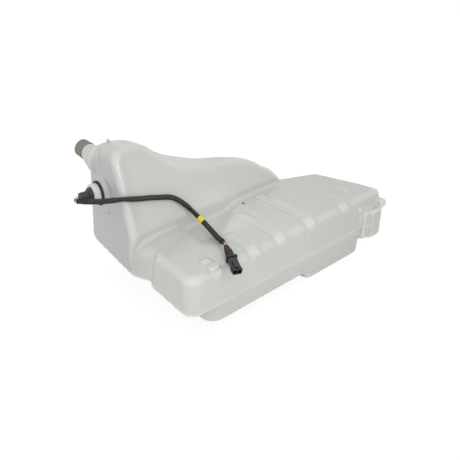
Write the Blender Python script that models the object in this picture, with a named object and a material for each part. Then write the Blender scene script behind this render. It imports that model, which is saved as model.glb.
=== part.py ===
# Coolant expansion tank of a heavy vehicle: a blown vessel with a swing-float level sensor and its lead.
# Metres, +Z up. The layout is drawn from the corner of the rim under the left end of the front wall,
# with +X along the length and +Y to the back, and is centred over the origin at the end.
import math

import bmesh
import bpy
from mathutils import Matrix, Vector

# Size over all: along the front wall, back to the tall corner, and up from the sump's floor to the crown
LENGTH = 0.545
DEPTH = 0.355
HEIGHT = 0.2935

# Heights of the vessel
SUMP_FLOOR_Z = -0.011
TUB_FLOOR_Z = 0.009
RIM_Z = 0.054
TOP_Z = SUMP_FLOOR_Z + HEIGHT
SLAB_UNDER_Z = 0.084
DECK_Z = 0.122
WALL = 0.0035

# How far a cutter runs past what it cuts, and how far a form sinks into the one it joins
CUT_MARGIN = 0.050
CUT_OVERLAP = 0.0006

# Plan of the vessel
LEFT_X = -0.004
SLAB_BEND = (0.530, 0.062)
SLAB_BACK_X = 0.497
BODY_END_X = 0.477
TOWER_Y = 0.176
BACK_X = 0.022
BACK_END_Y = 0.16481
NOTCH_TIP = (0.016, 0.139)
BOX_END = (0.006, 0.124)
STEP_X = 0.052
STEP_Y = (0.150, 0.225)
BACK_STEP = (0.090, 0.240)
SLAB_STEP_X = 0.395

# Saddle between the tower and the left box: a wall above the lip at the rim, (y, x) by point, that rolls
# over into the deck
SADDLE_LIP = (
    (0.096, 0.0045), (0.122, 0.0065), (0.139, 0.0145), (0.153, 0.009), (0.172, 0.003), (0.192, 0.003),
)
SADDLE_LEAN = 0.009
SADDLE_FALL = 0.009
SADDLE_ROLL = 0.026
SADDLE_TOP_X = 0.060
SADDLE_BACK_X = 0.075
SADDLE_STATIONS = 16

# Mould allowances and fillets
WALL_DRAFT = 0.007
DECK_EDGE = 0.014
FRONT_CORNER = 0.022
SLAB_CORNER = 0.009
BODY_CORNER = 0.018
NOTCH_CORNER = 0.005
BOX_END_DRAFT = 0.009
FLANGE_WIDTH = 0.0022
FLANGE_HEIGHT = 0.003

# Tower; the crown's points are its length from the end and its rise over the deck
TOWER_FOOT_RISE = 0.014
TOWER_LEAN = 0.463
TOWER_EDGE = 0.015
BACK_DRAFT = 0.012
END_FILLET = 0.013
END_SKEW = 0.124
END_LEAN = 0.045
END_BLEND = 0.200
TOWER_TIP_WIDTH = 0.019324
CROWN_FALL = 0.026
CROWN_FALL_X = 0.130
CROWN = (
    (0.000, 0.152), (0.024, 0.160), (0.050, 0.1605), (0.071, 0.156), (0.091, 0.1465), (0.120, 0.1205),
    (0.150, 0.1035), (0.180, 0.0945), (0.221, 0.0835), (0.262, 0.0795), (0.303, 0.072), (0.340, 0.0555),
    (0.360, 0.040), (0.380, 0.028), (0.392, 0.008), (0.404, -0.010),
)
CROWN_STATIONS = 26

# Lower tub and sump
TUB_LEFT_X = 0.045
TUB_STEP_X = 0.072
TUB_STEP_Y = (0.150, 0.190)
TUB_END_X = 0.467
TUB_INSET = 0.003
TUB_BACK_INSET = 0.012
TUB_EDGE = 0.008
SUMP_X = 0.256
SUMP_SLOPE = 0.050
SUMP_BACK_Y = 0.150

# Pocket between the deck and the tower
POCKET_LEFT_X = 0.099
POCKET_TIP_Y = 0.052
POCKET_RIGHT_X = 0.300
POCKET_DEPTH = 0.016
POCKET_DRAFT = 0.030
POCKET_UNDER_TOWER = 0.012

# Deck ribs: right edge and length back from the front wall
RIB_WIDTH = 0.031
RIB_HEIGHT = 0.0046
RIB_DROP = 0.042
RIB_ROOT = 0.030
RIBS = ((0.326, 0.160), (0.242, 0.132), (0.173, 0.085))
END_RIB_X = 0.428
END_RIB_LENGTH = 0.062
END_RIB_HEIGHT = 0.0022
PAD_X = 0.080
PAD_WIDTH = 0.025
PAD_LENGTH = 0.050
OVAL_X = 0.474
OVAL_Y = 0.062
OVAL_LENGTH = 0.042
OVAL_WIDTH = 0.023
OVAL_DEPTH = 0.0022

# Mounting ear, locating peg and feet
EAR_X = (0.497, 0.517)
EAR_Y = 0.002
EAR_RADIUS = 0.012
EAR_HOLE = 0.0052
EAR_FOOT_Z = 0.018
EAR_RISE = 0.003
EAR_FOOT_EDGE = 0.006
WEB_THICKNESS = 0.016
WEB_EDGE = 0.004
ROOT = 0.008
PEG_RADIUS = 0.010
PEG_X = 0.526
PEG_Y = -0.001
PEG_Z = 0.092
PEG_REACH = 0.012
FOOT_RADIUS = 0.015
FOOT_EDGE = 0.002
FOOT_PLACES = ((0.085, 0.080), (0.095, 0.235))

# Hose spigots, each with a barb
BARB = 0.001
OUTLET_RADIUS = 0.0115
OUTLET_BORE = 0.0085
OUTLET_REACH = 0.032
OUTLET_Y = 0.095
OUTLET_Z = 0.040
VENT_RADIUS = 0.006
VENT_BORE = 0.004
VENT_REACH = 0.024
VENT_X = 0.160
VENT_Z = 0.165

# Neck
NECK_FROM_BACK = 0.0235
NECK_FROM_TOP = 0.039
NECK_SET_IN = 0.0031905
NECK_YAW = math.radians(6.5)
NECK_PITCH = math.radians(10)
NECK_RADIUS = 0.0142
NECK_BORE = 0.011
NECK_BASE = 0.0155
NECK_REACH = 0.0375
LIP_EDGE = 0.001
SLEEVE_WALL = 0.0028
SLEEVE_LENGTH = 0.021
SLEEVE_BEAD = 0.0008
SLEEVE_EDGE = 0.0016
SHOULDER = (
    (-0.036, 0.022, -0.010, 0.020, 0.028), (-0.022, 0.011, -0.011, 0.023, 0.034),
    (-0.010, 0.003, -0.008, 0.0225, 0.030), (0.002, 0.000, -0.003, 0.0195, 0.022),
)
PIP_AT = (0.060, DEPTH - 0.035)
PIP_RADIUS = 0.003
PIP_RISE = 0.004

# Level sensor, along its own axis out of the end face
SENSOR_FROM_BACK = 0.0609
SENSOR_FROM_TOP = 0.1013
SENSOR_SET_OUT = 0.0047684
SENSOR_YAW = math.radians(7.1)
SENSOR_PITCH = math.radians(2.6)
SEAT_RADIUS = 0.0255
SEAT_RISE = 0.002
SEAT_FLARE = 0.004
SEAT_EDGE = 0.0005
BOSS_RADIUS = 0.018
BOSS_BORE = 0.0145
BOSS_LENGTH = 0.010
GASKET_RADIUS = 0.025
GASKET_THICKNESS = 0.003
COLLAR_RADIUS = 0.0205
COLLAR_LIP = 0.003
COLLAR_EDGE = 0.0012
FLANGE_THICKNESS = 0.003
HEAD_RADIUS = 0.0150
HEAD_TIP_RADIUS = 0.0088
HEAD_LENGTH = 0.027
HEAD_WIDE = 0.0075
HEAD_STEP = 0.003
HEAD_EDGE = 0.001
STEM_RADIUS = 0.0125
STEM_LENGTH = 0.030
REED_RADIUS = 0.0013
REED_LENGTH = 0.016
REED_FLOOR = 0.002
LEAD_WAY_RADIUS = 0.0009
FORK_LENGTH = 0.012
FORK_GAP = 0.009
FORK_HEIGHT = 0.014
FORK_CHEEK = 0.0028
FORK_EDGE = 0.0008
PIN_RADIUS = 0.0012
FLOAT_WIDTH = 0.0084
FLOAT_RADIUS = 0.0075
FLOAT_LENGTH = 0.036
FLOAT_CORNER = 0.004
ARM_LENGTH = 0.010
ARM_RADIUS = 0.003
FLOAT_DROOP = math.radians(18)
MAGNET_RADIUS = 0.0025
MAGNET_LENGTH = 0.004
MAGNET_X = 0.019

# Lead
CONDUIT_RADIUS = 0.0053
CONDUIT_POINTS = 28
TAPE_WALL = 0.0006
TAPE_LENGTH = 0.013
TAPE_SHARE = 0.770
WIRE_RADIUS = 0.0009
WIRE_SPREAD = 0.0016
WIRE_LEAD = 0.002
WIRE_BOW = 0.002
CONNECTOR_AT = (0.1205, 0.0486, 0.1336)
CONNECTOR_AIM = (-0.438, -0.893, -0.105)
BOOT_LENGTH = 0.040
BOOT_NECK = 0.0052
BOOT_WIDTH = 0.0155
BOOT_HEIGHT = 0.0145
BOOT_CORNER = 0.004
HOUSING_LENGTH = 0.039
HOUSING_WIDTH = 0.0205
HOUSING_HEIGHT = 0.0155
HOUSING_STEP = 0.002
HOUSING_CORNER = 0.0018
HOUSING_EDGE = 0.0006
COLLAR_PLATE = 0.0035
CAVITY_WIDTH = 0.0064
CAVITY_HEIGHT = 0.0075
CAVITY_DEPTH = 0.016
CAVITY_PITCH = 0.0076
CONTACT_WALL = 0.0009
CONTACT_INSET = 0.008
CONTACT_FLOOR = 0.0015
LATCH_WIDTH = 0.007
LATCH_LENGTH = 0.024
LATCH_INSET = 0.003
LATCH_RISE = 0.003
WING_LENGTH = 0.010
WING_HEIGHT = 0.004

# Clearances
GAP = 0.0003
BOSS_FIT = 0.0004
PIN_FIT = 0.00008

# Centre line of the conduit, from the sensor round the tower's corner and down its leaning face to the deck
CONDUIT_ROUTE = (
    (-0.0364, 0.2915, 0.1820), (-0.0270, 0.2795, 0.1822), (-0.0190, 0.2650, 0.1852),
    (-0.0120, 0.2480, 0.1900), (-0.0070, 0.2300, 0.1965), (-0.0010, 0.2135, 0.2025),
    (0.0114, 0.2033, 0.2040), (0.0294, 0.1990, 0.1998), (0.0454, 0.1973, 0.1957),
    (0.0654, 0.1951, 0.1914), (0.0824, 0.1930, 0.1867), (0.0984, 0.1912, 0.1826),
    (0.1124, 0.1887, 0.1769), (0.1244, 0.1841, 0.1676), (0.1344, 0.1793, 0.1571),
    (0.1419, 0.1732, 0.1466), (0.1465, 0.1620, 0.1370), (0.1480, 0.1450, 0.1300),
    (0.1450, 0.1250, 0.1265), (0.1390, 0.1060, 0.1275), (0.1310, 0.0825, 0.1294),
    (0.1252, 0.0616, 0.1316),
)


def mesh_object(name, bm, colour, roughness=0.4, metallic=0.0, smooth=40):
    """Finish a bmesh as a named object with outward faces and its own material."""
    bmesh.ops.recalc_face_normals(bm, faces=bm.faces)
    mesh = bpy.data.meshes.new(name)
    bm.to_mesh(mesh)
    bm.free()
    mesh.shade_smooth()
    mesh.set_sharp_from_angle(angle=math.radians(smooth))
    item = bpy.data.objects.new(name, mesh)
    bpy.context.scene.collection.objects.link(item)
    paint(item, colour, roughness, metallic)
    return item


def paint(item, colour, roughness=0.4, metallic=0.0):
    """Give an object a Principled material of its own."""
    material = bpy.data.materials.new(item.name)
    material.use_nodes = True
    shader = material.node_tree.nodes["Principled BSDF"]
    shader.inputs["Base Color"].default_value = (*colour, 1.0)
    shader.inputs["Roughness"].default_value = roughness
    shader.inputs["Metallic"].default_value = metallic
    material.diffuse_color = (*colour, 1.0)
    item.data.materials.clear()
    item.data.materials.append(material)


def combine(target, tool, operation):
    """Apply a Boolean with the tool, then remove the tool."""
    modifier = target.modifiers.new("combine", "BOOLEAN")
    modifier.operation = operation
    modifier.solver = "EXACT"
    modifier.object = tool
    tool.hide_render = True
    tool.display_type = "WIRE"
    depsgraph = bpy.context.evaluated_depsgraph_get()
    mesh = bpy.data.meshes.new_from_object(target.evaluated_get(depsgraph))
    target.modifiers.remove(modifier)
    target.data = mesh
    bpy.data.objects.remove(tool)


def loft(rings):
    """Closed mesh through rings that all have the same number of points."""
    bm = bmesh.new()
    loops = [[bm.verts.new(point) for point in ring] for ring in rings]
    count = len(loops[0])
    for lower, upper in zip(loops, loops[1:]):
        for i in range(count):
            j = (i + 1) % count
            bm.faces.new((lower[i], lower[j], upper[j], upper[i]))
    bm.faces.new(loops[0])
    bm.faces.new(loops[-1])
    return bm


def moved_in(corners, insets):
    """Corners of an anticlockwise outline after each side moves inwards by its own inset."""
    count = len(corners)
    moved = []
    for i in range(count):
        before = Vector(corners[i]) - Vector(corners[i - 1])
        after = Vector(corners[(i + 1) % count]) - Vector(corners[i])
        before.normalize()
        after.normalize()
        normal_before = Vector((-before.y, before.x))
        normal_after = Vector((-after.y, after.x))
        a = normal_before.dot(Vector(corners[i])) + insets[i - 1]
        b = normal_after.dot(Vector(corners[i])) + insets[i]
        turn = normal_before.x * normal_after.y - normal_before.y * normal_after.x
        moved.append(Vector(((a * normal_after.y - b * normal_before.y) / turn,
                             (b * normal_before.x - a * normal_after.x) / turn)))
    return moved


def rounded(corners, radii, steps=5):
    """Outline with an arc at each corner; a radius is limited by the sides beside it."""
    count = len(corners)
    points = []
    for i in range(count):
        corner = corners[i]
        back = corners[i - 1] - corner
        ahead = corners[(i + 1) % count] - corner
        half = back.angle(ahead) / 2
        room = min(back.length, ahead.length) * 0.48
        radius = min(radii[i], room * math.tan(half))
        reach = radius / math.tan(half)
        back.normalize()
        ahead.normalize()
        centre = corner + (back + ahead).normalized() * (radius / math.sin(half))
        start = corner + back * reach - centre
        turn = start.angle_signed(corner + ahead * reach - centre)
        for k in range(steps + 1):
            angle = -turn * k / steps
            spun = Vector((start.x * math.cos(angle) - start.y * math.sin(angle),
                           start.x * math.sin(angle) + start.y * math.cos(angle)))
            points.append(centre + spun)
    return points


def arc_levels(edge, count):
    """Inset and drop from the corner of a quarter-round edge, from the wall to the face."""
    levels = []
    for k in range(count + 1):
        angle = math.pi / 2 * k / count
        levels.append((edge * (1 - math.cos(angle)), edge * (1 - math.sin(angle))))
    return levels


def moulded_block(corners, radii, floor_z, top_z, drafts, top_edge, floor_edge=0.0, thick=0.0):
    """Drafted block with rounded corners and edges; thick moves every face inwards for a cavity."""
    bottom = floor_z + thick
    top = top_z - thick
    edge = max(top_edge - thick, 0.001)
    levels = []
    if floor_edge > 0:
        low = max(floor_edge - thick, 0.001)
        levels += [(bottom + drop, inset, 0.0) for inset, drop in reversed(arc_levels(low, 4))]
    else:
        levels.append((bottom, 0.0, 0.0))
    levels += [(top - drop, inset, 1.0) for inset, drop in arc_levels(edge, 5)]
    rings = []
    for z, inset, share in levels:
        sides = [thick + draft * share + inset for draft in drafts]
        ring_corners = moved_in(corners, sides)
        shrink = thick + inset
        ring_radii = []
        for i, radius in enumerate(radii):
            hollow = is_hollow(corners, i)
            ring_radii.append(radius + shrink if hollow else max(radius - shrink, 0.0012))
        rings.append([(p.x, p.y, z) for p in rounded(ring_corners, ring_radii)])
    return loft(rings)


def is_hollow(corners, i):
    """True where an anticlockwise outline turns clockwise."""
    before = Vector(corners[i]) - Vector(corners[i - 1])
    after = Vector(corners[(i + 1) % len(corners)]) - Vector(corners[i])
    return before.x * after.y - before.y * after.x < 0


def back_line(x):
    """Y of the straight, skewed back wall."""
    return DEPTH - (DEPTH - BACK_END_Y) * (x - BACK_X) / (BODY_END_X - BACK_X)


def tower_tip():
    """X at which the wedge between the tower's front and the back wall has thinned to its tip."""
    slope = (DEPTH - BACK_END_Y) / (BODY_END_X - BACK_X)
    return BACK_X + (DEPTH - TOWER_Y - TOWER_TIP_WIDTH) / slope


def end_face(y, z):
    """X of the tower's skewed, leaning end face."""
    return (y - TOWER_Y) * END_SKEW + (z - RIM_Z) * END_LEAN


def crown_height(x):
    """Height of the tower's crown, a smooth curve through its named points that peaks at the top."""
    x = min(max(x * CROWN[-1][0] / tower_tip(), CROWN[0][0]), CROWN[-1][0])
    i = 0
    while i < len(CROWN) - 2 and x > CROWN[i + 1][0]:
        i += 1
    x0, z0 = CROWN[i]
    x1, z1 = CROWN[i + 1]
    xa, za = CROWN[max(i - 1, 0)]
    xb, zb = CROWN[min(i + 2, len(CROWN) - 1)]
    slope0 = (z1 - za) / (x1 - xa)
    slope1 = (zb - z0) / (xb - x0)
    span = x1 - x0
    t = (x - x0) / span
    rise = ((2 * t ** 3 - 3 * t ** 2 + 1) * z0 + (t ** 3 - 2 * t ** 2 + t) * span * slope0
            + (3 * t ** 2 - 2 * t ** 3) * z1 + (t ** 3 - t ** 2) * span * slope1)
    return DECK_Z + rise * (TOP_Z - DECK_Z) / max(height for _, height in CROWN)


def crown_fall(x):
    """Drop of the crown from its front edge to its back edge, which fades along the length."""
    return CROWN_FALL * max(1 - x / CROWN_FALL_X, 0) ** 0.7


def deck_shell(thick=0.0):
    """Deck, left box and end slab: one wide block with the notch at its left end."""
    corners = [(LEFT_X, 0), (LENGTH, 0), SLAB_BEND, (SLAB_BACK_X, back_line(SLAB_BACK_X)),
               (SLAB_STEP_X, back_line(SLAB_STEP_X)), BACK_STEP, (STEP_X, STEP_Y[1]), (STEP_X, STEP_Y[0]),
               NOTCH_TIP, BOX_END]
    radii = [FRONT_CORNER, SLAB_CORNER, 0.020, 0.018, 0.02, 0.02, 0.01, NOTCH_CORNER, NOTCH_CORNER, 0.014]
    drafts = [WALL_DRAFT] * 3 + [0.002, 0, 0, 0.002, BOX_END_DRAFT, BOX_END_DRAFT, WALL_DRAFT]
    block = shape("deck_shell", moulded_block(corners, radii, RIM_Z, DECK_Z, drafts, DECK_EDGE, thick=thick))
    combine(block, slab_undercut(thick), "DIFFERENCE")
    combine(block, pocket(thick), "DIFFERENCE")
    return block


def shape(name, bm):
    """Plain object for a bmesh that will be combined with others."""
    bmesh.ops.recalc_face_normals(bm, faces=bm.faces)
    mesh = bpy.data.meshes.new(name)
    bm.to_mesh(mesh)
    bm.free()
    item = bpy.data.objects.new(name, mesh)
    bpy.context.scene.collection.objects.link(item)
    return item


def slab_undercut(thick):
    """Space below the overhanging end slab, with the body's rounded corner left standing."""
    far = LENGTH + CUT_MARGIN
    back = DEPTH + CUT_MARGIN
    left = BODY_END_X - thick
    middle = Vector((left - BODY_CORNER, BODY_CORNER - CUT_OVERLAP))
    outline = [Vector((left, back)), Vector((left, middle.y))]
    for k in range(1, 7):
        angle = math.pi / 2 * k / 6
        outline.append(middle + BODY_CORNER * Vector((math.cos(angle), -math.sin(angle))))
    outline += [Vector((middle.x, -CUT_MARGIN)), Vector((far, -CUT_MARGIN)), Vector((far, back))]
    rings = [[(p.x, p.y, z) for p in outline] for z in (RIM_Z - CUT_MARGIN, SLAB_UNDER_Z + thick)]
    return shape("slab_undercut", loft(rings))


def pocket(thick):
    """Three-sided dish that falls from the deck to the foot of the tower."""
    top = DECK_Z + CUT_MARGIN
    under_tower = TOWER_Y + POCKET_UNDER_TOWER
    corners = [(POCKET_LEFT_X, POCKET_TIP_Y), (POCKET_RIGHT_X, under_tower), (POCKET_LEFT_X, under_tower)]
    radii = [0.010, 0.012, 0.008]
    rings = []
    for depth, run in ((-1.0, -0.1), (0.0, 0.0), (0.12, 0.2), (0.5, 0.47), (0.88, 0.75), (1.0, 1.0)):
        inset = POCKET_DRAFT * run
        sides = [inset - thick, inset * 0.2 - thick, inset - thick]
        points = rounded(moved_in(corners, sides), [r + thick for r in radii])
        ring = []
        for p in points:
            share = min(max((p.y - POCKET_TIP_Y) / (TOWER_Y - POCKET_TIP_Y), 0.12), 1.0)
            floor = DECK_Z - POCKET_DEPTH * share
            z = top if depth < 0 else DECK_Z + (floor - DECK_Z) * depth - thick
            ring.append((p.x, p.y, z))
        rings.append(ring)
    return shape("pocket", loft(rings))


def tower(thick=0.0):
    """Wedge-shaped tower: profiles across it, lofted along its length under the crown."""
    tall = crown_height(CROWN[1][0]) - RIM_Z
    stations = arc_levels(END_FILLET, 4)
    for k in range(1, CROWN_STATIONS + 1):
        x = END_FILLET + (tower_tip() - END_FILLET) * k / CROWN_STATIONS
        stations.append((x, 0.0))
    rings = []
    for x, inset in stations:
        place = x + thick * (1 - 2 * x / tower_tip())
        back = back_line(x) - 0.001
        top = crown_height(x)
        foot = DECK_Z + TOWER_FOOT_RISE
        if top > foot + 0.004:
            front_top = (TOWER_Y + (top - foot) * TOWER_LEAN, top)
        else:
            foot = top - 0.004
            front_top = (TOWER_Y + 0.001, top)
        back_top = (back - BACK_DRAFT * (top - RIM_Z) / tall, top - crown_fall(x))
        corners = [(TOWER_Y + 0.002, RIM_Z), (back, RIM_Z), back_top, front_top, (TOWER_Y, foot)]
        shrink = inset + thick
        profile = moved_in(corners, [thick, shrink, shrink, shrink, shrink])
        radii = [0.002, 0.002, max(TOWER_EDGE - shrink, 0.003), max(TOWER_EDGE * 1.2 - shrink, 0.003), 0.02]
        ring = []
        for p in rounded(profile, radii, 4):
            hold = max(1 - x / END_BLEND, 0.0)
            ring.append((place + end_face(p.x, p.y) * hold, p.x, p.y))
        rings.append(ring)
    return shape("tower", loft(rings))


def saddle_lip(y):
    """X of the saddle's lip, read along its named points."""
    for (y0, x0), (y1, x1) in zip(SADDLE_LIP, SADDLE_LIP[1:]):
        if y <= y1:
            return x0 + (x1 - x0) * (max(y, y0) - y0) / (y1 - y0)
    return SADDLE_LIP[-1][1]


def saddle(thick=0.0):
    """Rolled wall between the tower and the left box, as profiles across it from the lip up to the deck."""
    low = SADDLE_LIP[0][0] + thick
    high = SADDLE_LIP[-1][0] - thick
    rings = []
    for k in range(SADDLE_STATIONS + 1):
        y = low + (high - low) * k / SADDLE_STATIONS
        lip = max(saddle_lip(y - thick), saddle_lip(y), saddle_lip(y + thick))
        corners = [(lip, RIM_Z), (SADDLE_BACK_X, RIM_Z), (SADDLE_BACK_X, DECK_Z - 0.0004),
                   (SADDLE_TOP_X, DECK_Z - 0.0004), (lip + SADDLE_LEAN, DECK_Z - SADDLE_FALL)]
        profile = moved_in(corners, [thick] * len(corners))
        rings.append([(p.x, y, p.y) for p in rounded(profile, [0.002, 0.002, 0.001, 0.030, SADDLE_ROLL])])
    return shape("saddle", loft(rings))


def tub(thick=0.0):
    """Lower tub under the parting line."""
    corners = [(TUB_LEFT_X, TUB_INSET), (TUB_END_X, TUB_INSET),
               (TUB_END_X, back_line(TUB_END_X) - TUB_BACK_INSET),
               (TUB_STEP_X, back_line(TUB_STEP_X) - TUB_BACK_INSET), (TUB_STEP_X, TUB_STEP_Y[1]),
               (TUB_LEFT_X, TUB_STEP_Y[0])]
    radii = [0.028, 0.014, 0.014, 0.020, 0.012, 0.012]
    drafts = [-0.002] * 6
    top = RIM_Z + (0.004 if thick == 0 else 0.010 + thick)
    return shape("tub", moulded_block(corners, radii, TUB_FLOOR_Z, top, drafts, 0.001, TUB_EDGE, thick))


def sump(thick=0.0):
    """Sump: the lowest part, with a sloping left wall."""
    front = TUB_INSET - CUT_OVERLAP
    end = TUB_END_X + CUT_OVERLAP
    corners = [(SUMP_X, front), (end, front), (end, SUMP_BACK_Y), (SUMP_X, SUMP_BACK_Y)]
    low = SUMP_FLOOR_Z + thick
    levels = [(low, 0.008 - thick * 0.5), (low + 0.0015, 0.004 - thick * 0.3), (low + 0.006, 0.0),
              (RIM_Z - 0.012, -0.002)]
    rings = []
    for z, inset in levels:
        slope = SUMP_SLOPE * (RIM_Z - z) / (RIM_Z - SUMP_FLOOR_Z)
        sides = [thick + inset, thick + inset, thick + inset, thick + inset + slope]
        rings.append([(p.x, p.y, z) for p in rounded(moved_in(corners, sides), [0.012] * 4)])
    return shape("sump", loft(rings))


def flange():
    """Parting-line flange all round the rim."""
    lip_y, lip_x = SADDLE_LIP[-3]
    corners = [(LEFT_X, 0), (BODY_END_X, 0), (BODY_END_X, back_line(BODY_END_X)), (BACK_X, DEPTH),
               (0, TOWER_Y), (lip_x, lip_y), NOTCH_TIP, BOX_END]
    radii = [FRONT_CORNER, BODY_CORNER, 0.012, 0.018, 0.006, 0.004, NOTCH_CORNER, 0.014]
    rings = []
    for z, inset in ((-0.5, -0.6), (-0.3, -1.0), (0.3, -1.0), (0.5, -0.6)):
        points = rounded(moved_in(corners, [FLANGE_WIDTH * inset] * len(corners)), radii)
        rings.append([(p.x, p.y, RIM_Z + FLANGE_HEIGHT * z) for p in points])
    return shape("flange", loft(rings))


def deck_strip(right_x, width, length, height):
    """Raised strip along Y that rolls over the deck's front edge and fades down the front wall."""
    front = WALL_DRAFT * 0.55
    low = DECK_Z - RIB_DROP
    corners = [(front, low), (front + RIB_ROOT, low - RIB_ROOT * 0.13), (length, DECK_Z - RIB_ROOT / 3),
               (length, DECK_Z + height), (WALL_DRAFT - height * 0.5, DECK_Z + height)]
    radii = [0.002, 0.004, 0.002, height, DECK_EDGE]
    rings = []
    for along, inset in ((0.0, 1.15), (0.10, 0.55), (0.18, 0.18), (0.28, 0.0),
                         (0.72, 0.0), (0.82, 0.18), (0.90, 0.55), (1.0, 1.15)):
        lift = inset * height
        profile = moved_in(corners, [0.0, 0.0, 0.0, lift, lift])
        rings.append([(right_x - width * (1 - along), p.x, p.y) for p in rounded(profile, radii)])
    return shape("deck_strip", loft(rings))


def turned(profile, segments=32, start=0.0):
    """Closed solid of revolution about local X through (x, radius) points."""
    rings = []
    for x, radius in profile:
        ring = []
        for k in range(segments):
            angle = start + 2 * math.pi * k / segments
            ring.append((x, radius * math.cos(angle), radius * math.sin(angle)))
        rings.append(ring)
    return loft(rings)


def turned_ring(profile, segments=32):
    """Closed ring: an (x, radius) profile swept all the way about local X."""
    bm = bmesh.new()
    loops = []
    for k in range(segments):
        angle = 2 * math.pi * k / segments
        loops.append([bm.verts.new((x, r * math.cos(angle), r * math.sin(angle))) for x, r in profile])
    for k in range(segments):
        here = loops[k]
        there = loops[(k + 1) % segments]
        for i in range(len(profile)):
            j = (i + 1) % len(profile)
            bm.faces.new((here[i], here[j], there[j], there[i]))
    return bm


def local_frame(at, aim, up=(0, 0, 1)):
    """Matrix whose local X points along aim and local Z is as near up as it can be."""
    x = Vector(aim).normalized()
    y = Vector(up).cross(x).normalized()
    z = x.cross(y)
    matrix = Matrix((x, y, z)).transposed().to_4x4()
    matrix.translation = Vector(at)
    return matrix


def placed(bm, matrix):
    """Transform a bmesh into the layout."""
    bmesh.ops.transform(bm, matrix=matrix, verts=bm.verts)
    return bm


def box(low, high, bevel=0.0):
    """Box between two corners, with its edges bevelled if asked."""
    bm = bmesh.new()
    bmesh.ops.create_cube(bm, size=1.0)
    size = Vector(high) - Vector(low)
    middle = (Vector(high) + Vector(low)) / 2
    bmesh.ops.transform(bm, matrix=Matrix.Translation(middle) @ Matrix.Diagonal((*size, 1.0)), verts=bm.verts)
    if bevel > 0:
        bmesh.ops.bevel(bm, geom=bm.edges[:], offset=bevel, segments=2, profile=0.5, affect="EDGES")
    return bm


def neck_frame():
    """Neck's own frame: local X runs out along the neck, tilted up and towards the end face."""
    aim = (-math.sin(NECK_YAW) * math.cos(NECK_PITCH), math.cos(NECK_YAW) * math.cos(NECK_PITCH),
           math.sin(NECK_PITCH))
    y = DEPTH - NECK_FROM_BACK
    z = TOP_Z - NECK_FROM_TOP
    return local_frame((end_face(y, z) + NECK_SET_IN, y, z), aim)


def sensor_frame():
    """Sensor's own frame: local X runs out of the end face along the sensor."""
    aim = (-math.cos(SENSOR_YAW) * math.cos(SENSOR_PITCH), math.sin(SENSOR_YAW) * math.cos(SENSOR_PITCH),
           math.sin(SENSOR_PITCH))
    y = DEPTH - SENSOR_FROM_BACK
    z = TOP_Z - SENSOR_FROM_TOP
    return local_frame((end_face(y, z) - SENSOR_SET_OUT, y, z), aim)


def tank_body():
    """The whole blown vessel: outer forms joined, then the space inside cut out of them."""
    body = deck_shell()
    body.name = "tank_body"
    for form in (tower(), saddle(), tub(), sump()):
        combine(body, form, "UNION")
    for right_x, length in RIBS:
        combine(body, deck_strip(right_x, RIB_WIDTH, length, RIB_HEIGHT), "UNION")
    combine(body, deck_strip(END_RIB_X, RIB_WIDTH, END_RIB_LENGTH, END_RIB_HEIGHT), "UNION")
    combine(body, deck_strip(PAD_X, PAD_WIDTH, PAD_LENGTH, RIB_HEIGHT), "UNION")
    combine(body, flange(), "UNION")
    combine(body, oval_dimple(), "DIFFERENCE")
    for form in outer_fittings():
        combine(body, form, "UNION")
    for form in (deck_shell(WALL), tower(WALL), saddle(WALL), tub(WALL), sump(WALL)):
        combine(body, form, "DIFFERENCE")
    for form in bores():
        combine(body, form, "DIFFERENCE")
    body.data.shade_smooth()
    body.data.set_sharp_from_angle(angle=math.radians(32))
    paint(body, (0.62, 0.64, 0.60), 0.38)
    return body


def oval_dimple():
    """Shallow oval dish near the slab's end."""
    rings = []
    for z, share in ((0.01, 1.3), (0.0003, 1.0), (-0.0012, 0.93), (-OVAL_DEPTH, 0.75)):
        ring = []
        for k in range(28):
            angle = 2 * math.pi * k / 28
            u = OVAL_LENGTH / 2 * share * math.cos(angle)
            v = OVAL_WIDTH / 2 * share * math.sin(angle)
            ring.append((OVAL_X - 0.24 * u + v, OVAL_Y + 0.97 * u, DECK_Z + z))
        rings.append(ring)
    return shape("oval_dimple", loft(rings))


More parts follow.
